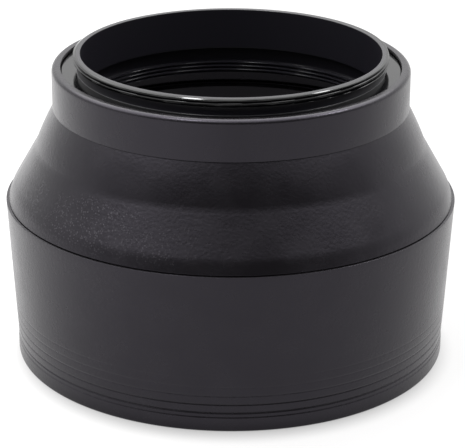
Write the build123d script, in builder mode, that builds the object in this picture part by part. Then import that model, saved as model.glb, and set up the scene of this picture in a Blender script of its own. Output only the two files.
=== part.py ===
# Collapsible three-stage rubber lens hood with a screw-in metal ring.
# It stands on its mouth: the rim of the mouth is z = 0, the optical axis is Z and the
# mount thread is at the top. Fully extended. All sizes are in millimetres.
from build123d import *
import os

# Filter thread, M58 x 0.75, at both ends of the metal ring
thread_d = 58.0
thread_pitch = 0.75
thread_depth = 0.44
thread_root_flat = 0.12
thread_crest_flat = 0.17
thread_overcut = 0.08

# Mount ring: a thin machined ring with a flange and a neck that takes the clamp ring
ring_wall = 1.3
thread_stub_h = 2.95
thread_relief_h = 1.75
thread_relief_depth = 0.7
thread_chamfer = 0.15
thread_phase = 0.28
flange_reach = 2.1
flange_h = 1.25
flange_chamfer = 0.25
flange_inset = 0.11
neck_step = 0.1
neck_h = 3.6

# Clamp ring: pressed on the neck, it holds the rubber lip against the flange
clamp_h = 6.9
clamp_seat_h = 1.8
clamp_thread_h = 2.4
clamp_relief_depth = 0.3

# Rubber moulding: radial steps from the ring outwards
lip_h = 2.0
lip_gap = 0.1
ring_gap = 0.25
collar_wall = 1.65
rear_fold_growth = 3.07
rib_growth = 0.63
front_fold_growth = 4.8
barrel_taper = 1.88

# Rubber moulding: heights from the mouth upwards
barrel_h = 30.0
hinge_h = 1.0
front_fold_h = 8.4
rib_h = 1.2
rear_fold_h = 6.9
collar_h = 7.26

# Rubber moulding: walls, hinges and edges
barrel_wall = 1.5
front_fold_wall = 1.4
rear_fold_wall = 1.2
rib_crease_depth = 0.55
hinge_groove_depth = 0.9
shoulder_round = 0.3
rear_fold_bow = 0.2
bead_h = 2.6
bead_step = 0.3
mouth_round = 0.35
collar_outer_round = 0.8
collar_inner_round = 0.3
groove_count = 5
groove_first_z = 3.6
groove_pitch = 1.68
groove_width = 0.5
groove_depth = 0.2

# Radii that follow from the thread and the steps
thread_r = thread_d / 2
thread_root_r = thread_r - thread_depth
relief_r = thread_r - thread_relief_depth
bore_r = thread_r - ring_wall
neck_r = thread_r - neck_step
flange_r = thread_r + flange_reach
female_minor_r = thread_r - thread_depth
female_relief_r = thread_r + clamp_relief_depth
collar_bore_r = flange_r + ring_gap
collar_r = collar_bore_r + collar_wall
rib_top_r = collar_r + rear_fold_growth
rib_low_r = rib_top_r + rib_growth
shoulder_r = rib_low_r + front_fold_growth
hinge_neck_r = shoulder_r - hinge_groove_depth + shoulder_round
barrel_rear_r = shoulder_r + 2 * shoulder_round
barrel_mouth_r = barrel_rear_r - barrel_taper

# Heights that follow from the stack
hinge_top_z = barrel_h + hinge_h
rib_low_z = hinge_top_z + front_fold_h
rib_top_z = rib_low_z + rib_h
collar_low_z = rib_top_z + rear_fold_h
collar_top_z = collar_low_z + collar_h
flange_top_z = collar_top_z - flange_inset
flange_low_z = flange_top_z - flange_h
lip_low_z = flange_low_z - lip_h
neck_low_z = flange_low_z - neck_h
rim_z = flange_top_z + thread_stub_h
relief_top_z = flange_top_z + thread_relief_h
clamp_low_z = lip_low_z - clamp_h
clamp_thread_top_z = clamp_low_z + clamp_thread_h
clamp_seat_z = lip_low_z - clamp_seat_h

os.makedirs("parts", exist_ok=True)


def barrel_r_at(z):
    """Radius of the barrel's tapered outer face at height z."""
    return barrel_mouth_r + barrel_taper * z / barrel_h


# Half widths of the V of the thread: at its root, and where it leaves the crest
root_half = thread_root_flat / 2
open_half = (thread_pitch - thread_crest_flat) / 2
flank = (open_half - root_half) / thread_depth
over_half = open_half + flank * thread_overcut

# ---- Mount ring: male thread, relief, flange and neck in one turned piece ----
with BuildPart() as mount_ring:
    with BuildSketch(Plane.XZ):
        with BuildLine():
            Polyline(
                (bore_r, neck_low_z),
                (neck_r, neck_low_z),
                (neck_r, flange_low_z),
                (flange_r, flange_low_z),
                (flange_r, flange_top_z - flange_chamfer),
                (flange_r - flange_chamfer, flange_top_z),
                (relief_r, flange_top_z),
                (relief_r, relief_top_z),
                (thread_r, relief_top_z),
                (thread_r, rim_z - thread_chamfer),
                (thread_r - thread_chamfer, rim_z),
                (bore_r, rim_z),
                close=True,
            )
        make_face()
    revolve(axis=Axis.Z)
    with BuildLine() as male_helix:
        Helix(
            pitch=thread_pitch,
            height=3 * thread_pitch,
            radius=thread_root_r,
            center=(0, 0, rim_z - thread_phase - 2 * thread_pitch),
        )
    with BuildSketch(Plane(male_helix.line @ 0, x_dir=(1, 0, 0), z_dir=male_helix.line % 0)):
        with BuildLine():
            Polyline(
                (0, -root_half),
                (thread_depth + thread_overcut, -over_half),
                (thread_depth + thread_overcut, over_half),
                (0, root_half),
                close=True,
            )
        make_face()
    sweep(path=male_helix.line, is_frenet=True, mode=Mode.SUBTRACT)

mount_ring.part.label = "mount_ring"
export_step(mount_ring.part, "parts/mount_ring.step")

# ---- Clamp ring: seat for the neck, relief, and a female thread at its open end ----
with BuildPart() as clamp_ring:
    with BuildSketch(Plane.XZ):
        with BuildLine():
            Polyline(
                (female_minor_r, clamp_low_z),
                (flange_r, clamp_low_z),
                (flange_r, lip_low_z),
                (neck_r, lip_low_z),
                (neck_r, clamp_seat_z),
                (female_relief_r, clamp_seat_z),
                (female_relief_r, clamp_thread_top_z),
                (female_minor_r, clamp_thread_top_z),
                close=True,
            )
        make_face()
    revolve(axis=Axis.Z)
    with BuildLine() as female_helix:
        Helix(
            pitch=thread_pitch,
            height=clamp_thread_h + 2 * thread_pitch,
            radius=thread_r,
            center=(0, 0, clamp_low_z - thread_pitch),
        )
    with BuildSketch(Plane(female_helix.line @ 0, x_dir=(1, 0, 0), z_dir=female_helix.line % 0)):
        with BuildLine():
            Polyline(
                (0, -root_half),
                (-thread_depth - thread_overcut, -over_half),
                (-thread_depth - thread_overcut, over_half),
                (0, root_half),
                close=True,
            )
        make_face()
    sweep(path=female_helix.line, is_frenet=True, mode=Mode.SUBTRACT)

clamp_ring.part.label = "clamp_ring"
export_step(clamp_ring.part, "parts/clamp_ring.step")

# ---- Rear collar: the sleeve around the ring, with the lip that is clamped ----
with BuildPart() as rear_collar:
    with BuildSketch(Plane.XZ):
        with BuildLine():
            Polyline(
                (collar_bore_r, collar_low_z),
                (collar_r, collar_low_z),
                (collar_r, collar_top_z),
                (collar_bore_r, collar_top_z),
                (collar_bore_r, flange_low_z),
                (neck_r + lip_gap, flange_low_z),
                (neck_r + lip_gap, lip_low_z),
                (collar_bore_r, lip_low_z),
                close=True,
            )
        make_face()
    revolve(axis=Axis.Z)
    top_edges = rear_collar.edges().filter_by(GeomType.CIRCLE).group_by(Axis.Z)[-1]
    inner_edge, outer_edge = top_edges.sort_by(SortBy.RADIUS)
    fillet(outer_edge, collar_outer_round)
    fillet(inner_edge, collar_inner_round)

rear_collar.part.label = "rear_collar"
export_step(rear_collar.part, "parts/rear_collar.step")

# ---- Rear fold: bowed cone that turns inside out over the collar ----
with BuildPart() as rear_fold:
    with BuildSketch(Plane.XZ):
        middle_r = (collar_r + rib_top_r) / 2 + rear_fold_bow
        middle_z = (rib_top_z + collar_low_z) / 2
        with BuildLine():
            ThreePointArc((rib_top_r, rib_top_z), (middle_r, middle_z), (collar_r, collar_low_z))
            Line((collar_r, collar_low_z), (collar_r - rear_fold_wall, collar_low_z))
            ThreePointArc(
                (collar_r - rear_fold_wall, collar_low_z),
                (middle_r - rear_fold_wall, middle_z),
                (rib_top_r - rear_fold_wall, rib_top_z),
            )
            Line((rib_top_r - rear_fold_wall, rib_top_z), (rib_top_r, rib_top_z))
        make_face()
    revolve(axis=Axis.Z)

rear_fold.part.label = "rear_fold"
export_step(rear_fold.part, "parts/rear_fold.step")

# ---- Middle rib: the crease band between the two folds, thinned from inside ----
with BuildPart() as middle_rib:
    with BuildSketch(Plane.XZ):
        crease_z = (rib_low_z + rib_top_z) / 2
        crease_r = (rib_low_r + rib_top_r) / 2
        with BuildLine():
            Polyline(
                (rib_low_r, rib_low_z),
                (rib_top_r, rib_top_z),
                (rib_top_r - rear_fold_wall, rib_top_z),
                (crease_r - front_fold_wall + rib_crease_depth, crease_z),
                (rib_low_r - front_fold_wall, rib_low_z),
                close=True,
            )
        make_face()
    revolve(axis=Axis.Z)

middle_rib.part.label = "middle_rib"
export_step(middle_rib.part, "parts/middle_rib.step")

# ---- Front fold: straight cone down to the rounded shoulder ----
with BuildPart() as front_fold:
    with BuildSketch(Plane.XZ):
        with BuildLine():
            Polyline(
                (rib_low_r, rib_low_z),
                (shoulder_r, hinge_top_z + shoulder_round),
                (shoulder_r, hinge_top_z),
                (shoulder_r - front_fold_wall, hinge_top_z),
                (rib_low_r - front_fold_wall, rib_low_z),
                close=True,
            )
        make_face()
    revolve(axis=Axis.Z)

front_fold.part.label = "front_fold"
export_step(front_fold.part, "parts/front_fold.step")

# ---- Front barrel: tapered wall, mouth bead, fine grooves and the hinge neck ----
with BuildPart() as front_barrel:
    with BuildSketch(Plane.XZ):
        with BuildLine():
            Polyline(
                (barrel_r_at(0) - barrel_wall, 0),
                (barrel_r_at(0) + bead_step, 0),
                (barrel_r_at(0) + bead_step, bead_h),
                (barrel_r_at(bead_h + bead_step), bead_h + bead_step),
                (barrel_rear_r, barrel_h),
                (hinge_neck_r, barrel_h),
                (hinge_neck_r, hinge_top_z),
                (shoulder_r - front_fold_wall, hinge_top_z),
                (barrel_rear_r - barrel_wall, barrel_h - barrel_wall),
                close=True,
            )
        make_face()
    revolve(axis=Axis.Z)
    mouth_edges = front_barrel.edges().filter_by(GeomType.CIRCLE).group_by(Axis.Z)[0]
    fillet(mouth_edges, mouth_round)
    for number in range(groove_count):
        groove_z = groove_first_z + number * groove_pitch
        with BuildSketch(Plane.XZ):
            with BuildLine():
                Polyline(
                    (barrel_r_at(groove_z) - groove_depth, groove_z),
                    (barrel_r_at(groove_z) + groove_depth, groove_z + groove_width),
                    (barrel_r_at(groove_z) + groove_depth, groove_z - groove_width),
                    close=True,
                )
            make_face()
        revolve(axis=Axis.Z, mode=Mode.SUBTRACT)

front_barrel.part.label = "front_barrel"
export_step(front_barrel.part, "parts/front_barrel.step")
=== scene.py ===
"""Looks of a collapsible rubber lens hood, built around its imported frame.

The file is laid out as an add-on and is run as a script. Everything is in metres, in
the frame's own place: the hood stands on its mouth at z = 0 and its axis is Z.
"""
import math

import bmesh
import bpy
from bpy.props import FloatProperty, FloatVectorProperty, IntProperty, PointerProperty
from mathutils import Matrix, Vector


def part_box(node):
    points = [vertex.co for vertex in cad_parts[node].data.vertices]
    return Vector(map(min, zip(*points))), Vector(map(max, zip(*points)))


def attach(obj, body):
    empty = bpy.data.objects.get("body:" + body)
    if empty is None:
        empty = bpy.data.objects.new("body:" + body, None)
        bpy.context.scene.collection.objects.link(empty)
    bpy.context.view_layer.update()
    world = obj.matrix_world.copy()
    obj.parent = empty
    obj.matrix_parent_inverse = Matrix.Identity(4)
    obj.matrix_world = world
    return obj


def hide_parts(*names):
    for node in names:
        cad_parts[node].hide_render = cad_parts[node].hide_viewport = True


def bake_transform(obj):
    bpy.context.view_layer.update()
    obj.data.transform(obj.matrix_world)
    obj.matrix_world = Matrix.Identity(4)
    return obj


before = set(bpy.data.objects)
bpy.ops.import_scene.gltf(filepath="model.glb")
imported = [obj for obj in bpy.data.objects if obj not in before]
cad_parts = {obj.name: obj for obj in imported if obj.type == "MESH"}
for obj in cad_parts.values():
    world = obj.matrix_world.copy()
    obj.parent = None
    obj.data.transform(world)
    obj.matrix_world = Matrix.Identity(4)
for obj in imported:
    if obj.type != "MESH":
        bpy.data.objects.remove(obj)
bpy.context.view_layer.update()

bl_info = {
    "name": "Collapsible Lens Hood",
    "version": (1, 0, 0),
    "blender": (4, 5, 0),
    "location": "View3D > Sidebar > Lens Hood",
    "description": "Builds the metal ring, the folding rubber and a studio for a lens hood",
    "category": "Object",
}

MM = 0.001
SHARP_ANGLE = math.radians(32)      # an edge that turns by more than this is shaded sharp
STRAIGHT = 0.99999                  # cosine over which two stretches count as one line
SIDE_SHARE = 0.49                   # most of a side that one fillet may take
RUBBER = "carbon_black_moulded_rubber"
ANODISED = "lathe_turned_black_anodised_aluminium"


def linear(hex_colour):
    """Linear RGB of an sRGB hex colour."""
    channels = [int(hex_colour[i:i + 2], 16) / 255 for i in (1, 3, 5)]
    return tuple(c / 12.92 if c <= 0.04045 else ((c + 0.055) / 1.055) ** 2.4 for c in channels)


def radius_of(node):
    """Largest radius of a CAD node about the optical axis."""
    return max(math.hypot(v.co.x, v.co.y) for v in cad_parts[node].data.vertices)


def span_of(node):
    """Lowest and highest z of a CAD node."""
    low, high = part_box(node)
    return low.z, high.z


# Heights and outer radii that the frame fixes
MOUTH_Z, HINGE_Z = span_of("front_barrel")
RIB_LOW_Z, RIB_TOP_Z = span_of("middle_rib")
COLLAR_LOW_Z, COLLAR_TOP_Z = span_of("rear_collar")
CLAMP_LOW_Z, CLAMP_TOP_Z = span_of("clamp_ring")
NECK_LOW_Z, RIM_Z = span_of("mount_ring")
FLANGE_R = radius_of("mount_ring")
COLLAR_R = radius_of("rear_collar")
FOLD_R = radius_of("rear_fold")
RIB_R = radius_of("middle_rib")
SHOULDER_R = radius_of("front_fold")
BARREL_R = radius_of("front_barrel")

# Edges that more than one piece or finish goes by
CREASE_Z = (RIB_LOW_Z + RIB_TOP_Z) / 2
SHOULDER_LOW_Z = HINGE_Z - 0.92 * MM
MOUTH_BEAD = 0.28 * MM

CRISP = 0.05 * MM      # fillet of a turned edge that was only deburred


class LensHoodSizes(bpy.types.PropertyGroup):
    """Sizes that the frame's boxes don't give."""

    segments: IntProperty(name="Segments", description="Faces around the axis", default=360, min=48)
    thread_r: FloatProperty(name="Thread radius", description="Crest of the filter thread",
                            default=29.0 * MM, unit="LENGTH", precision=5)
    thread_pitch: FloatProperty(name="Thread pitch", description="Rise of one turn",
                                default=0.75 * MM, unit="LENGTH", precision=5)
    thread_depth: FloatProperty(name="Thread depth", description="From crest to root",
                                default=0.44 * MM, unit="LENGTH", precision=5)
    bore_r: FloatProperty(name="Bore radius", description="Clear hole of the metal ring",
                          default=27.7 * MM, unit="LENGTH", precision=5)
    relief_r: FloatProperty(name="Relief radius", description="Groove between thread and flange",
                            default=28.3 * MM, unit="LENGTH", precision=5)
    relief_h: FloatProperty(name="Relief height", description="Height of that groove",
                            default=1.75 * MM, unit="LENGTH", precision=5)
    stub_h: FloatProperty(name="Thread stub", description="Height of the rim over the flange",
                          default=3.2 * MM, unit="LENGTH", precision=5)
    flange_h: FloatProperty(name="Flange height", description="Thickness of the flange",
                            default=1.25 * MM, unit="LENGTH", precision=5)
    neck_r: FloatProperty(name="Neck radius", description="Neck that takes the clamp ring",
                          default=28.9 * MM, unit="LENGTH", precision=5)
    lip_h: FloatProperty(name="Lip height", description="Rubber lip under the flange",
                         default=2.0 * MM, unit="LENGTH", precision=5)
    ring_gap: FloatProperty(name="Ring gap", description="Gap between metal ring and collar",
                            default=0.25 * MM, unit="LENGTH", precision=5)
    fold_wall: FloatProperty(name="Fold wall", description="Wall of the two folding cones",
                             default=1.25 * MM, unit="LENGTH", precision=5)
    barrel_wall: FloatProperty(name="Barrel wall", description="Wall of the front barrel",
                               default=1.5 * MM, unit="LENGTH", precision=5)
    barrel_taper: FloatProperty(name="Barrel taper", description="Radius lost down to the mouth",
                                default=1.88 * MM, unit="LENGTH", precision=5)
    groove_first_z: FloatProperty(name="First groove", description="Height of the lowest groove",
                                  default=3.6 * MM, unit="LENGTH", precision=5)
    groove_pitch: FloatProperty(name="Groove pitch", description="Distance between grooves",
                                default=1.68 * MM, unit="LENGTH", precision=5)
    groove_count: IntProperty(name="Grooves", description="Fine grooves near the mouth", default=5)


class LensHoodColours(bpy.types.PropertyGroup):
    """Colours, as linear RGB."""

    rubber: FloatVectorProperty(name="Rubber", description="Carbon-black rubber",
                                default=linear("#070607"), subtype="COLOR", size=3)
    dust: FloatVectorProperty(name="Dust", description="Lint and chalky dust on the rubber",
                              default=linear("#b4b2b8"), subtype="COLOR", size=3)
    anodised: FloatVectorProperty(name="Anodised", description="Black dyed anodising",
                                  default=linear("#050506"), subtype="COLOR", size=3)
    baffle: FloatVectorProperty(name="Bore", description="Matt black of the ring's bore",
                                default=linear("#16151a"), subtype="COLOR", size=3)
    floor: FloatVectorProperty(name="Floor", description="Paper before its own glow is added",
                               default=linear("#525151"), subtype="COLOR", size=3)


# ---------------------------------------------------------------- mesh code

def rounded(corners, steps=5):
    """Points of a closed outline: each corner is (r, z, fillet radius), and a fillet becomes an arc."""
    points = []
    count = len(corners)
    for i, (r, z, fillet) in enumerate(corners):
        here = Vector((r, z))
        before = Vector(corners[i - 1][:2]) - here
        after = Vector(corners[(i + 1) % count][:2]) - here
        if fillet <= 0:
            points.append(here)
            continue
        half = before.angle(after) / 2
        reach = fillet / math.tan(half)
        room = SIDE_SHARE * min(before.length, after.length)
        if reach > room:
            fillet, reach = fillet * room / reach, room
        start = here + before.normalized() * reach
        end = here + after.normalized() * reach
        centre = here + (before.normalized() + after.normalized()).normalized() * fillet / math.sin(half)
        a, b = start - centre, end - centre
        sweep = a.angle_signed(b)
        for k in range(steps + 1):
            turn = Matrix.Rotation(-sweep * k / steps, 2)
            points.append(centre + turn @ a)
    return points


def divided(points, step):
    """The same closed outline with no stretch longer than step."""
    fine = []
    for i, here in enumerate(points):
        after = points[(i + 1) % len(points)]
        parts = max(1, math.ceil((after - here).length / step))
        fine += [here.lerp(after, k / parts) for k in range(parts)]
    return fine


def turned(name, outline, segments, shape=None):
    """A closed ring: the outline goes once round the axis. shape(r, z, angle) may change a radius."""
    mesh = bpy.data.meshes.new(name)
    bm = bmesh.new()
    rows = []
    for k in range(segments):
        angle = 2 * math.pi * k / segments
        ring = []
        for r, z in outline:
            radius = shape(r, z, angle) if shape else r
            ring.append(bm.verts.new((radius * math.cos(angle), radius * math.sin(angle), z)))
        rows.append(ring)
    count = len(outline)
    for k in range(segments):
        here, after = rows[k], rows[(k + 1) % segments]
        for i in range(count):
            j = (i + 1) % count
            bm.faces.new((here[i], after[i], after[j], here[j]))
    bmesh.ops.recalc_face_normals(bm, faces=bm.faces)
    bm.to_mesh(mesh)
    bm.free()
    mesh.shade_smooth()
    mesh.set_sharp_from_angle(angle=SHARP_ANGLE)
    piece = bpy.data.objects.new(name, mesh)
    bpy.context.scene.collection.objects.link(piece)
    return piece


def thinned(outline, above_z, step):
    """The outline with its straight rows up to above_z at least step apart, and every row over it."""
    kept = [outline[0]]
    for before, here, after in zip(outline, outline[1:], outline[2:] + outline[:1]):
        straight = (here - before).normalized().dot((after - here).normalized()) > STRAIGHT
        if here.y > above_z or not straight or (here - kept[-1]).length >= step:
            kept.append(here)
    return kept


def wall_between(outer, wall):
    """Closed outline of a wall: the outer line from top to bottom, and back up inside it."""
    return [Vector(p) for p in outer] + [Vector((r - wall, z)) for r, z in reversed(outer)]


def thread_cut(sizes, z_at_start, sign):
    """shape() for a thread: sign +1 cuts a male thread into a shaft, -1 a female thread into a bore."""
    root_half = 0.06 * MM
    crest_flat = 0.17 * MM
    crest_half = (sizes.thread_pitch - crest_flat) / 2
    flank = (crest_half - root_half) / sizes.thread_depth

    def shape(r, z, angle):
        centre = z_at_start + sizes.thread_pitch * angle / (2 * math.pi)
        off = (z - centre + sizes.thread_pitch / 2) % sizes.thread_pitch - sizes.thread_pitch / 2
        rise = max(0.0, abs(off) - root_half) / flank
        if sign > 0:
            return min(r, sizes.thread_r - sizes.thread_depth + rise)
        return max(r, sizes.thread_r - rise)

    return shape


def ride_as(piece, body, node, material):
    """The piece moves with the body, stands for the CAD node and takes the material."""
    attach(piece, body)
    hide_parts(node)
    piece.data.materials.append(material)


def blend_as(piece, node):
    """The rubber piece stands for the CAD node, takes the rubber and has its transform baked into its
    mesh.
    """
    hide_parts(node)
    piece.data.materials.append(moulded_rubber())
    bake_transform(piece)


# ---------------------------------------------------------------- materials

def add(tree, kind, links=None, **settings):
    """Adds a node. settings are properties, or inputs by name; links are inputs by name or number."""
    node = tree.nodes.new(kind)
    for key, value in settings.items():
        if hasattr(node, key):
            setattr(node, key, value)
        else:
            node.inputs[key.replace("_", " ")].default_value = value
    for key, source in (links or {}).items():
        if isinstance(source, (int, float)):
            node.inputs[key].default_value = source
        else:
            tree.links.new(source, node.inputs[key])
    return node


def new_material(name):
    """An empty node material and its shader."""
    material = bpy.data.materials.new(name)
    material.use_nodes = True
    tree = material.node_tree
    tree.nodes.clear()
    shader = add(tree, "ShaderNodeBsdfPrincipled")
    add(tree, "ShaderNodeOutputMaterial", {"Surface": shader.outputs["BSDF"]})
    return material, tree, shader


def per_mm(size_mm):
    """Texture scale at which one feature is size_mm wide."""
    return 1 / (size_mm * MM)


def moulded_rubber():
    """Carbon-black rubber, compression moulded in a finely spark-eroded mould.

    The eye gets a chalky black with a soft sheen: a fine grain that breaks up highlights,
    faint mottling where the surface has bloomed, and specks of lint, most on the -X side.
    """
    made = bpy.data.materials.get(RUBBER)
    if made:
        return made
    colours = bpy.context.scene.lens_hood_colours
    material, tree, shader = new_material(RUBBER)
    place = add(tree, "ShaderNodeTexCoord").outputs["Object"]
    axes = add(tree, "ShaderNodeSeparateXYZ", {"Vector": place})

    # The mould's grain, a tenth of a millimetre or so, is too fine to show and is drawn at 0.6 mm
    grain = add(tree, "ShaderNodeTexNoise", {"Vector": place}, Scale=per_mm(0.6), Detail=4.0)
    bump = add(tree, "ShaderNodeBump", {"Height": grain.outputs["Fac"]},
               Strength=0.5, Distance=0.07 * MM)
    tree.links.new(bump.outputs["Normal"], shader.inputs["Normal"])

    # Bloom: clouds some 6 mm wide that are a trace paler and more matt
    mottle = add(tree, "ShaderNodeTexNoise", {"Vector": place}, Scale=per_mm(6.0), Detail=4.0)
    bloom = add(tree, "ShaderNodeMapRange", {"Value": mottle.outputs["Fac"]},
                From_Min=0.35, From_Max=0.7, To_Min=0.0, To_Max=0.004)
    rough = add(tree, "ShaderNodeMapRange", {"Value": mottle.outputs["Fac"]},
                From_Min=0.3, From_Max=0.7, To_Min=0.23, To_Max=0.29)
    tree.links.new(rough.outputs["Result"], shader.inputs["Roughness"])

    # Lint and dust, too fine to show, are drawn as specks 0.5 mm apart, in drifts some 9 mm wide
    specks = add(tree, "ShaderNodeTexVoronoi", {"Vector": place}, Scale=per_mm(0.5))
    dots = add(tree, "ShaderNodeMapRange", {"Value": specks.outputs["Distance"]},
               From_Min=0.12, From_Max=0.38, To_Min=1.0, To_Max=0.0)
    drifts = add(tree, "ShaderNodeTexNoise", {"Vector": place}, Scale=per_mm(9.0), Detail=5.0)
    drifted = add(tree, "ShaderNodeMapRange", {"Value": drifts.outputs["Fac"]},
                  From_Min=0.30, From_Max=0.55, To_Min=0.0, To_Max=0.075)

    # It lies thickest on the -X side, on the ledge between the middle crease and the shoulder
    minus_x_side = add(tree, "ShaderNodeMapRange", {"Value": axes.outputs["X"]},
                  interpolation_type="SMOOTHSTEP",
                  From_Min=2 * MM, From_Max=-26 * MM, To_Min=0.06, To_Max=1.0)
    below_crease = add(tree, "ShaderNodeMapRange", {"Value": axes.outputs["Z"]},
                       interpolation_type="SMOOTHSTEP",
                       From_Min=CREASE_Z, From_Max=CREASE_Z - 2.5 * MM, To_Min=0.08, To_Max=1.0)
    over_shoulder = add(tree, "ShaderNodeMapRange", {"Value": axes.outputs["Z"]},
                        interpolation_type="SMOOTHSTEP",
                        From_Min=HINGE_Z - 1 * MM, From_Max=HINGE_Z + 3 * MM, To_Min=0.25, To_Max=1.0)
    ledge = add(tree, "ShaderNodeMath",
                {0: below_crease.outputs["Result"], 1: over_shoulder.outputs["Result"]},
                operation="MULTIPLY")
    favoured = add(tree, "ShaderNodeMath", {0: minus_x_side.outputs["Result"], 1: ledge.outputs[0]},
                   operation="MULTIPLY")
    amount = add(tree, "ShaderNodeMath", {0: favoured.outputs[0], 1: drifted.outputs["Result"]},
                 operation="MULTIPLY")
    lint = add(tree, "ShaderNodeMath", {0: dots.outputs["Result"], 1: amount.outputs[0]},
               operation="MULTIPLY")

    share = add(tree, "ShaderNodeMath", {0: lint.outputs[0], 1: bloom.outputs["Result"]},
                operation="ADD")
    mix = add(tree, "ShaderNodeMix", {"Factor": share.outputs[0]}, data_type="RGBA")
    mix.inputs["A"].default_value = (*colours.rubber, 1)
    mix.inputs["B"].default_value = (*colours.dust, 1)
    tree.links.new(mix.outputs["Result"], shader.inputs["Base Color"])

    # The sheen of carbon black leans a little to violet
    shader.inputs["IOR"].default_value = 1.41
    shader.inputs["Specular Tint"].default_value = (0.90, 0.84, 1.0, 1)
    return material


def anodised_aluminium():
    """Aluminium turned on a lathe and black anodised.

    The shader is that of the dyed oxide, which hides the metal: no metallic, and an IOR
    set under the 1.6 or so that is usual for it. The eye gets a glossy black on the
    thread and the flange, and a matt, slightly paler black in the bore and below it.
    """
    made = bpy.data.materials.get(ANODISED)
    if made:
        return made
    sizes = bpy.context.scene.lens_hood_sizes
    colours = bpy.context.scene.lens_hood_colours
    material, tree, shader = new_material(ANODISED)
    place = add(tree, "ShaderNodeTexCoord").outputs["Object"]
    axes = add(tree, "ShaderNodeSeparateXYZ", {"Vector": place})
    flat = add(tree, "ShaderNodeCombineXYZ", {"X": axes.outputs["X"], "Y": axes.outputs["Y"]})
    radius = add(tree, "ShaderNodeVectorMath", {0: flat.outputs[0]}, operation="LENGTH")

    # Lathe lines: noise in radius and height alone, at a feed of 0.12 mm a turn. They are too fine
    # to be seen singly, and are left so, because all they give the real ring is softer highlights
    section = add(tree, "ShaderNodeCombineXYZ", {"X": radius.outputs["Value"], "Y": axes.outputs["Z"]})
    lines = add(tree, "ShaderNodeTexNoise", {"Vector": section.outputs[0]},
                Scale=per_mm(0.12), Detail=2.0)
    bump = add(tree, "ShaderNodeBump", {"Height": lines.outputs["Fac"]},
               Strength=0.15, Distance=0.01 * MM)
    tree.links.new(bump.outputs["Normal"], shader.inputs["Normal"])

    # Matt part: the bore, the relief's wall, and everything below the clamp ring's top
    matt_rough = 0.3
    bore = add(tree, "ShaderNodeMapRange", {"Value": radius.outputs["Value"]},
               From_Min=sizes.relief_r + 0.05 * MM, From_Max=sizes.relief_r + 0.15 * MM,
               To_Min=1.0, To_Max=0.0)
    below = add(tree, "ShaderNodeMapRange", {"Value": axes.outputs["Z"]},
                From_Min=CLAMP_TOP_Z, From_Max=CLAMP_TOP_Z + MM, To_Min=1.0, To_Max=0.0)
    matt = add(tree, "ShaderNodeMath", {0: bore.outputs["Result"], 1: below.outputs["Result"]},
               operation="MAXIMUM")

    # Handling leaves the polished part a little uneven, in clouds some 4 mm wide
    cloud = add(tree, "ShaderNodeTexNoise", {"Vector": place}, Scale=per_mm(4.0), Detail=4.0)
    gloss = add(tree, "ShaderNodeMapRange", {"Value": cloud.outputs["Fac"]},
                From_Min=0.3, From_Max=0.7, To_Min=0.09, To_Max=0.14)
    rough = add(tree, "ShaderNodeMix", {"Factor": matt.outputs[0], "A": gloss.outputs["Result"]},
                B=matt_rough)
    tree.links.new(rough.outputs["Result"], shader.inputs["Roughness"])
    dye = add(tree, "ShaderNodeMix", {"Factor": matt.outputs[0]}, data_type="RGBA")
    dye.inputs["A"].default_value = (*colours.anodised, 1)
    dye.inputs["B"].default_value = (*colours.baffle, 1)
    tree.links.new(dye.outputs["Result"], shader.inputs["Base Color"])
    shader.inputs["IOR"].default_value = 1.45
    return material


# ---------------------------------------------------------------- pieces

class HoodOperator(bpy.types.Operator):
    """Shared settings of the operators that build a piece."""

    bl_options = {"REGISTER", "UNDO"}


class LENSHOOD_OT_mount_ring(HoodOperator):
    """Build the turned ring with the male filter thread."""

    bl_idname = "lens_hood.mount_ring"
    bl_label = "Mount ring"

    def execute(self, context):
        sizes = context.scene.lens_hood_sizes
        flange_top = RIM_Z - sizes.stub_h
        flange_low = flange_top - sizes.flange_h
        relief_top = flange_top + sizes.relief_h
        runout = 0.1 * MM
        chamfer = 0.18 * MM
        neck_edge, relief_root = 0.10 * MM, 0.12 * MM
        chamfer_edge, bore_edge = 0.02 * MM, 0.14 * MM
        corners = [
            (sizes.bore_r, NECK_LOW_Z, neck_edge),
            (sizes.neck_r, NECK_LOW_Z, neck_edge),
            (sizes.neck_r, flange_low, 0),
            (FLANGE_R, flange_low, CRISP),
            (FLANGE_R, flange_top, 0),
            (sizes.relief_r, flange_top, relief_root),
            (sizes.relief_r, relief_top - runout, 0),
            (sizes.thread_r, relief_top, CRISP),
            (sizes.thread_r, RIM_Z - chamfer, chamfer_edge),
            (sizes.thread_r - chamfer, RIM_Z, chamfer_edge),
            (sizes.bore_r, RIM_Z, bore_edge),
        ]
        thread_step, plain_step = 0.04 * MM, 0.5 * MM
        outline = divided(rounded(corners), thread_step)
        outline = thinned(outline, relief_top - 2 * runout, plain_step)
        top_root_z = RIM_Z - 0.28 * MM
        cut = thread_cut(sizes, top_root_z, sign=1)

        def shape(r, z, angle):
            threaded = r > sizes.relief_r + CRISP and z > relief_top - CRISP
            return cut(r, z, angle) if threaded else r

        ring = turned("mount_ring_turned", outline, 2 * sizes.segments, shape)
        ride_as(ring, "mount", "mount_ring", anodised_aluminium())
        return {"FINISHED"}


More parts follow.
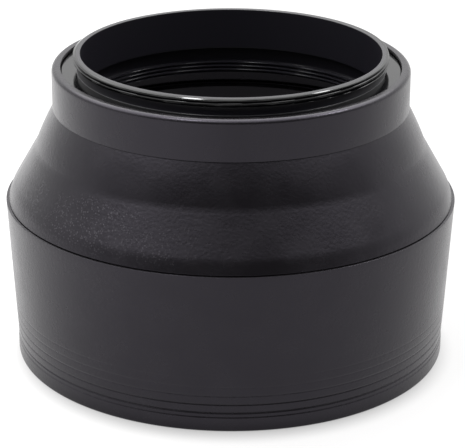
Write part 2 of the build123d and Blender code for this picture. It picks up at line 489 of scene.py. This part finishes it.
class LENSHOOD_OT_clamp_ring(HoodOperator):
    """Build the ring that clamps the rubber and takes a filter."""

    bl_idname = "lens_hood.clamp_ring"
    bl_label = "Clamp ring"

    def execute(self, context):
        sizes = context.scene.lens_hood_sizes
        minor_r = sizes.thread_r - sizes.thread_depth
        thread_top = CLAMP_LOW_Z + 2.4 * MM
        seat_z = CLAMP_TOP_Z - 1.8 * MM
        relief_r = sizes.thread_r + 0.3 * MM
        lead_in, outer_edge = 0.16 * MM, 0.20 * MM
        corners = [
            (minor_r, CLAMP_LOW_Z, lead_in),
            (FLANGE_R, CLAMP_LOW_Z, outer_edge),
            (FLANGE_R, CLAMP_TOP_Z, CRISP),
            (sizes.neck_r, CLAMP_TOP_Z, CRISP),
            (sizes.neck_r, seat_z, 0),
            (relief_r, seat_z, 0),
            (relief_r, thread_top, 0),
            (minor_r, thread_top, CRISP),
        ]
        thread_step = 0.05 * MM
        outline = divided(rounded(corners), thread_step)
        cut = thread_cut(sizes, CLAMP_LOW_Z, sign=-1)
        slack = 0.01 * MM

        def shape(r, z, angle):
            threaded = r < relief_r and z < thread_top + slack
            return cut(r, z, angle) if threaded else r

        ring = turned("clamp_ring_turned", outline, 2 * sizes.segments, shape)
        ride_as(ring, "mount", "clamp_ring", anodised_aluminium())
        return {"FINISHED"}


class LENSHOOD_OT_rear_collar(HoodOperator):
    """Build the rubber collar around the metal ring."""

    bl_idname = "lens_hood.rear_collar"
    bl_label = "Rear collar"

    def execute(self, context):
        sizes = context.scene.lens_hood_sizes
        bore_r = FLANGE_R + sizes.ring_gap
        lip_r = sizes.neck_r + 0.1 * MM
        lip_top = RIM_Z - sizes.stub_h - sizes.flange_h
        lip_low = lip_top - sizes.lip_h
        top_z = COLLAR_TOP_Z + 0.38 * MM
        top_round, top_lip = 1.38 * MM, 0.12 * MM
        low_round, low_lip = 0.22 * MM, 0.10 * MM
        corners = [
            (bore_r, COLLAR_LOW_Z, low_lip),
            (COLLAR_R, COLLAR_LOW_Z, low_round),
            (COLLAR_R, top_z, top_round),
            (bore_r, top_z, top_lip),
            (bore_r, lip_top, 0),
            (lip_r, lip_top, 0),
            (lip_r, lip_low, 0),
            (bore_r, lip_low, 0),
        ]
        row_step = 0.6 * MM
        outline = divided(rounded(corners, steps=10), row_step)
        collar = turned("rear_collar_sleeve", outline, sizes.segments)
        ride_as(collar, "mount", "rear_collar", moulded_rubber())
        return {"FINISHED"}


def rear_fold(sizes):
    """The cone from the collar to the middle crease, bowed a little outwards."""
    rows = 40
    step_in = 0.22 * MM
    bow = 0.15 * MM
    line = []
    for k in range(rows + 1):
        down = k / rows
        r = (COLLAR_R - step_in) * (1 - down) + FOLD_R * down + 4 * bow * down * (1 - down)
        line.append((r, COLLAR_LOW_Z * (1 - down) + RIB_TOP_Z * down))
    cone = turned("rear_fold_cone", wall_between(line, sizes.fold_wall), sizes.segments)
    blend_as(cone, "rear_fold")


def middle_rib(sizes):
    """The crease between the cones, with a low bead inside it."""
    crease_r = (FOLD_R + RIB_R) / 2 - 0.05 * MM
    inner_r = FOLD_R - sizes.fold_wall
    bead_r = inner_r - 0.55 * MM
    bead_low, bead_top = RIB_LOW_Z + 0.25 * MM, RIB_TOP_Z + 0.2 * MM
    bead_low_round, bead_top_round = 0.2 * MM, 0.6 * MM
    corners = [
        (FOLD_R, RIB_TOP_Z, 0),
        (crease_r, CREASE_Z, 0),
        (RIB_R, RIB_LOW_Z, 0),
        (RIB_R - sizes.fold_wall, RIB_LOW_Z, 0),
        (bead_r, bead_low, bead_low_round),
        (bead_r, bead_top, bead_top_round),
        (inner_r, bead_top, 0),
        (inner_r, RIB_TOP_Z, 0),
    ]
    rib = turned("middle_rib_crease", rounded(corners, steps=8), sizes.segments)
    ride_as(rib, "middle", "middle_rib", moulded_rubber())


def front_fold(sizes):
    """The cone from the middle crease to the shoulder, which bends over and tucks into the barrel."""
    bend_r, bend_z = SHOULDER_R - 0.6 * MM, HINGE_Z + 1.1 * MM
    tip_r = SHOULDER_R + 0.05 * MM
    bend, tip = 10 * MM, 0.12 * MM
    corners = [
        (RIB_R, RIB_LOW_Z, 0),
        (bend_r, bend_z, bend),
        (tip_r, SHOULDER_LOW_Z, tip),
        (bend_r, SHOULDER_LOW_Z, 0),
        (RIB_R - sizes.fold_wall, RIB_LOW_Z, 0),
    ]
    row_step = 0.25 * MM
    outline = divided(rounded(corners, steps=12), row_step)
    cone = turned("front_fold_cone", outline, sizes.segments)
    blend_as(cone, "front_fold")


class LENSHOOD_OT_folds(HoodOperator):
    """Build the two folding cones and the crease between them."""

    bl_idname = "lens_hood.folds"
    bl_label = "Folds"

    def execute(self, context):
        sizes = context.scene.lens_hood_sizes
        rear_fold(sizes)
        middle_rib(sizes)
        front_fold(sizes)
        return {"FINISHED"}


class LENSHOOD_OT_front_barrel(HoodOperator):
    """Build the tapered front barrel with its grooves and mouth bead."""

    bl_idname = "lens_hood.front_barrel"
    bl_label = "Front barrel"

    def execute(self, context):
        sizes = context.scene.lens_hood_sizes
        mouth_r = BARREL_R - sizes.barrel_taper
        edge_r, edge_z, edge_round = BARREL_R - 0.1 * MM, HINGE_Z - 1.0 * MM, 0.03 * MM
        notch_r, notch_round = SHOULDER_R - 0.35 * MM, 0.1 * MM

        def wall_r(z):
            return mouth_r + sizes.barrel_taper * z / edge_z

        bead_top, bead_round = 2.6 * MM, 0.3 * MM
        mouth_inner, mouth_outer = 0.35 * MM, 0.45 * MM
        corners = [
            (wall_r(0) - sizes.barrel_wall, 0, mouth_inner),
            (wall_r(0) + MOUTH_BEAD, 0, mouth_outer),
            (wall_r(0) + MOUTH_BEAD, bead_top, bead_round),
            (wall_r(bead_top + MOUTH_BEAD), bead_top + MOUTH_BEAD, bead_round),
        ]
        half, first_depth, fading = 0.22 * MM, 0.13 * MM, 0.72
        groove_edge, groove_root = 0.06 * MM, 0.04 * MM
        for number in range(sizes.groove_count):
            z = sizes.groove_first_z + number * sizes.groove_pitch
            depth = first_depth * fading ** number
            corners += [
                (wall_r(z - half), z - half, groove_edge),
                (wall_r(z) - depth, z, groove_root),
                (wall_r(z + half), z + half, groove_edge),
            ]
        land_r = SHOULDER_R - 1.4 * MM
        inner_r, inner_round = BARREL_R - sizes.barrel_wall, 0.4 * MM
        corners += [
            (edge_r, edge_z, edge_round),
            (notch_r, edge_z, notch_round),
            (notch_r, SHOULDER_LOW_Z, 0),
            (land_r, HINGE_Z, 0),
            (inner_r, edge_z - sizes.barrel_wall, inner_round),
        ]
        row_step = 1.2 * MM
        outline = divided(rounded(corners), row_step)
        barrel = turned("front_barrel_sleeve", outline, sizes.segments)
        ride_as(barrel, "front", "front_barrel", moulded_rubber())
        return {"FINISHED"}


# ---------------------------------------------------------------- stage

def paper_sweep(sizes, colours):
    """White seamless paper that burns out to white.

    Its own colour is a mid grey, and it gives off the rest of its light itself. That
    glow is weaker under the hood and just around it, which deepens the contact shadow.
    """
    material, tree, shader = new_material("white_paper_sweep")
    shader.inputs["Base Color"].default_value = (*colours.floor, 1)
    shader.inputs["Roughness"].default_value = 0.9
    shader.inputs["Emission Color"].default_value = (1, 1, 1, 1)
    foot_r = BARREL_R - sizes.barrel_taper + MOUTH_BEAD
    place = add(tree, "ShaderNodeTexCoord").outputs["Object"]
    axes = add(tree, "ShaderNodeSeparateXYZ", {"Vector": place})

    # A sharp step at the hood's foot, and a soft one whose middle lies 3 mm towards -Y
    far = add(tree, "ShaderNodeVectorMath", {0: place}, operation="LENGTH")
    outside = add(tree, "ShaderNodeMapRange", {"Value": far.outputs["Value"]},
                  interpolation_type="SMOOTHSTEP",
                  From_Min=foot_r - 1.5 * MM, From_Max=foot_r + 0.1 * MM, To_Min=0.2, To_Max=0.6)
    shifted = add(tree, "ShaderNodeVectorMath", {0: place}, operation="ADD")
    shifted.inputs[1].default_value = (0, 3 * MM, 0)
    off = add(tree, "ShaderNodeVectorMath", {0: shifted.outputs[0]}, operation="LENGTH")
    clear = add(tree, "ShaderNodeMapRange", {"Value": off.outputs["Value"]},
                interpolation_type="SMOOTHSTEP",
                From_Min=foot_r - 3.5 * MM, From_Max=foot_r + 2.5 * MM, To_Min=0.0, To_Max=0.5)

    # Seen directly, the paper under the hood keeps this much glow, so a lifted hood leaves no black disc
    least_seen = 0.6
    eye = add(tree, "ShaderNodeLightPath").outputs["Is Camera Ray"]
    plain = add(tree, "ShaderNodeMath", {0: eye, 1: least_seen}, operation="MULTIPLY")
    under = add(tree, "ShaderNodeMath", {0: outside.outputs["Result"], 1: plain.outputs[0]},
                operation="MAXIMUM")
    lit = add(tree, "ShaderNodeMath", {0: under.outputs[0], 1: clear.outputs["Result"]},
              operation="ADD")

    # The pool of light grows stronger towards -X
    left = add(tree, "ShaderNodeMapRange", {"Value": axes.outputs["X"]},
               interpolation_type="SMOOTHSTEP",
               From_Min=20 * MM, From_Max=-120 * MM, To_Min=0.70, To_Max=1.06)
    right = add(tree, "ShaderNodeMapRange", {"Value": axes.outputs["X"]},
                interpolation_type="SMOOTHSTEP",
                From_Min=20 * MM, From_Max=140 * MM, To_Min=0.0, To_Max=0.05)
    pool = add(tree, "ShaderNodeMath", {0: left.outputs["Result"], 1: right.outputs["Result"]},
               operation="ADD")
    glow = add(tree, "ShaderNodeMath", {0: lit.outputs[0], 1: pool.outputs[0]}, operation="MULTIPLY")
    tree.links.new(glow.outputs[0], shader.inputs["Emission Strength"])
    return material


def white_room():
    """World: a white room, dark in front of the hood and brighter behind, beside and above it.

    Seen directly, it is at least plain white, however little light it gives.
    """
    world = bpy.data.worlds.new("white_room")
    world.use_nodes = True
    tree = world.node_tree
    tree.nodes.clear()
    way = add(tree, "ShaderNodeTexCoord").outputs["Generated"]
    axes = add(tree, "ShaderNodeSeparateXYZ", {"Vector": way})
    dark_side = math.radians(9)
    towards_dark = add(tree, "ShaderNodeVectorMath", {0: way}, operation="DOT_PRODUCT")
    towards_dark.inputs[1].default_value = (math.sin(dark_side), -math.cos(dark_side), 0)
    walls = add(tree, "ShaderNodeMapRange", {"Value": towards_dark.outputs["Value"]},
                From_Min=0.85, From_Max=-0.1, To_Min=0.0, To_Max=1.0)
    upper = add(tree, "ShaderNodeMapRange", {"Value": axes.outputs["Z"]},
                interpolation_type="SMOOTHSTEP",
                From_Min=0.43, From_Max=0.60, To_Min=1.0, To_Max=4.0)
    lit_walls = add(tree, "ShaderNodeMath", {0: walls.outputs["Result"], 1: upper.outputs["Result"]},
                    operation="MULTIPLY")
    ceiling = add(tree, "ShaderNodeMapRange", {"Value": axes.outputs["Z"]},
                  interpolation_type="SMOOTHSTEP",
                  From_Min=0.62, From_Max=0.98, To_Min=0.12, To_Max=0.9)
    level = add(tree, "ShaderNodeMath", {0: lit_walls.outputs[0], 1: ceiling.outputs["Result"]},
                operation="ADD")
    eye = add(tree, "ShaderNodeLightPath").outputs["Is Camera Ray"]
    seen = add(tree, "ShaderNodeMath", {0: level.outputs[0], 1: eye}, operation="MAXIMUM")
    light = add(tree, "ShaderNodeBackground", {"Strength": seen.outputs[0]}, Color=(1, 1, 1, 1))
    add(tree, "ShaderNodeOutputWorld", {"Surface": light.outputs[0]})
    return world


def lamp(name, azimuth, elevation, radiance):
    """A round lamp one metre away, aimed at the origin. Azimuth turns from -Y towards +X."""
    light = bpy.data.lights.new(name, "AREA")
    light.shape = "DISK"
    light.size = 0.18
    area = math.pi * (light.size / 2) ** 2
    light.energy = radiance * math.pi * area
    holder = bpy.data.objects.new(name, light)
    bpy.context.scene.collection.objects.link(holder)
    turn, rise = math.radians(azimuth), math.radians(elevation)
    way = Vector((math.sin(turn) * math.cos(rise), -math.cos(turn) * math.cos(rise), math.sin(rise)))
    holder.location = way
    holder.rotation_euler = way.to_track_quat("Z", "Y").to_euler()


def long_lens_camera():
    """A camera in front of the hood that looks down at it."""
    place = Vector((0.385, -376.58, 171.29)) * MM
    down, roll = math.radians(21.442), math.radians(0.266)
    camera = bpy.data.cameras.new("camera")
    camera.sensor_width = 36.0
    camera.lens = 165.4
    camera.clip_start = 0.01
    holder = bpy.data.objects.new("camera", camera)
    holder.matrix_world = (
        Matrix.Translation(place)
        @ Matrix.Rotation(math.pi / 2 - down, 4, "X")
        @ Matrix.Rotation(roll, 4, "Z")
    )
    return holder


class LENSHOOD_OT_stage(bpy.types.Operator):
    """Build the white sweep, the studio light and the camera."""

    bl_idname = "lens_hood.stage"
    bl_label = "Stage"

    def execute(self, context):
        scene = context.scene
        floor_size = 6.0
        bpy.ops.mesh.primitive_plane_add(size=floor_size)
        floor = context.active_object
        floor.name = "sweep_floor"
        floor.data.materials.append(paper_sweep(scene.lens_hood_sizes, scene.lens_hood_colours))
        scene.world = white_room()
        lamp("left_lamp", azimuth=-45, elevation=64.5, radiance=36)
        lamp("right_lamp", azimuth=89, elevation=50, radiance=28)
        scene.camera = long_lens_camera()
        scene.collection.objects.link(scene.camera)
        scene.view_settings.view_transform = "Standard"
        return {"FINISHED"}


class LENSHOOD_PT_panel(bpy.types.Panel):
    """Lists the operators that build the hood."""

    bl_label = "Lens Hood"
    bl_space_type = "VIEW_3D"
    bl_region_type = "UI"
    bl_category = "Lens Hood"

    def draw(self, context):
        for operator in OPERATORS:
            self.layout.operator(operator.bl_idname)
        for group in (context.scene.lens_hood_sizes, context.scene.lens_hood_colours):
            for key in group.bl_rna.properties.keys():
                if key not in ("rna_type", "name"):
                    self.layout.prop(group, key)


OPERATORS = (
    LENSHOOD_OT_mount_ring,
    LENSHOOD_OT_clamp_ring,
    LENSHOOD_OT_rear_collar,
    LENSHOOD_OT_folds,
    LENSHOOD_OT_front_barrel,
    LENSHOOD_OT_stage,
)
CLASSES = (LensHoodSizes, LensHoodColours, *OPERATORS, LENSHOOD_PT_panel)


def register():
    """Registers the classes and hangs the settings on the scene."""
    for item in CLASSES:
        bpy.utils.register_class(item)
    bpy.types.Scene.lens_hood_sizes = PointerProperty(type=LensHoodSizes)
    bpy.types.Scene.lens_hood_colours = PointerProperty(type=LensHoodColours)


def unregister():
    """Takes the settings and the classes away again."""
    del bpy.types.Scene.lens_hood_colours
    del bpy.types.Scene.lens_hood_sizes
    for item in reversed(CLASSES):
        bpy.utils.unregister_class(item)


def main():
    """Builds every piece and the stage."""
    register()
    bpy.ops.lens_hood.mount_ring()
    bpy.ops.lens_hood.clamp_ring()
    bpy.ops.lens_hood.rear_collar()
    bpy.ops.lens_hood.folds()
    bpy.ops.lens_hood.front_barrel()
    bpy.ops.lens_hood.stage()


if __name__ == "__main__":
    main()
